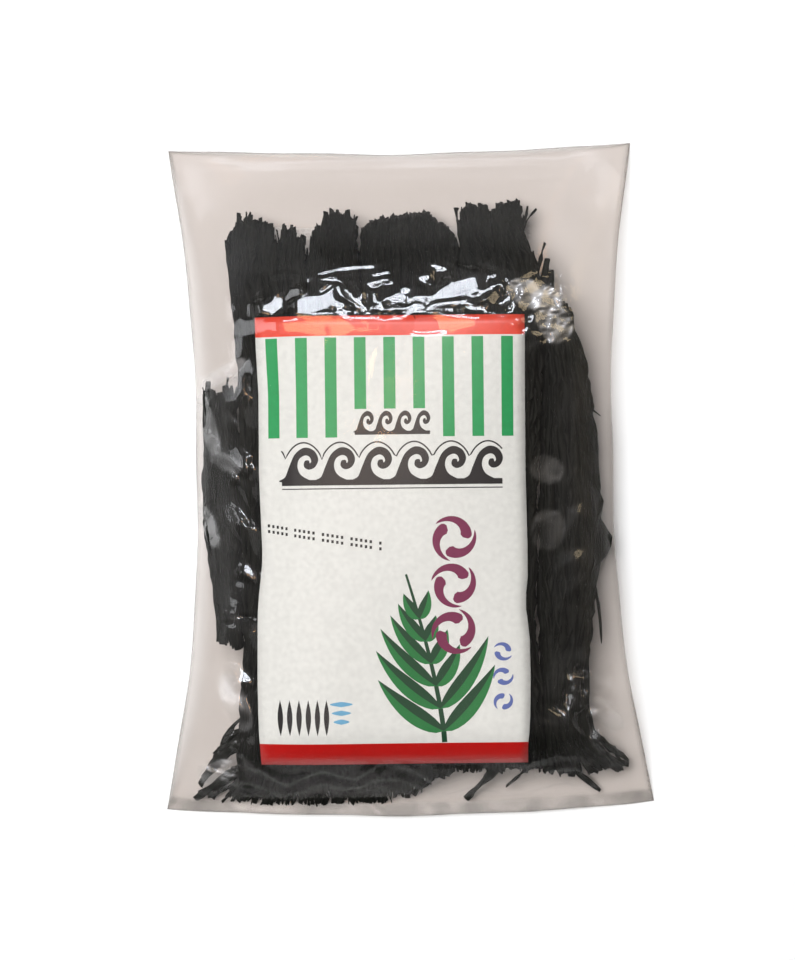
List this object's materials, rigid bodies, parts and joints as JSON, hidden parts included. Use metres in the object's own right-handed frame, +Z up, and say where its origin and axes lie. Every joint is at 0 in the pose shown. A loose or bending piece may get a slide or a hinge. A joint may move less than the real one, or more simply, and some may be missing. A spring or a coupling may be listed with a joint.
{
  "type": "packet of dried wakame",
  "caption": "Flat clear film bag, filled with bunches of dried seaweed strips, with a printed paper label under its front film.",
  "frame": {"origin": "on the table under the middle of the packet, which lies on its back", "axes": "+X to the packet's right as the label is read, +Y towards its top edge, +Z up through the label"},
  "size_m": [0.15, 0.207, 0.0284],
  "materials": {
    "film": "clear heat-sealed packing film, glossy and creased",
    "label_paper": "white coated label paper, printed",
    "dried_wakame": "dried seaweed, near black, leathery, with a faint sheen"
  },
  "bodies": {
    "root": {"bag_back_film": "film", "bag_front_film": "film", "label": "label_paper", "wakame_left": "dried_wakame", "wakame_left_middle": "dried_wakame", "wakame_folded": "dried_wakame", "wakame_right": "dried_wakame", "wakame_outer_right": "dried_wakame", "wakame_outer_left": "dried_wakame", "wakame_under_left": "dried_wakame", "wakame_under_right": "dried_wakame"}
  },
  "joints": []
}
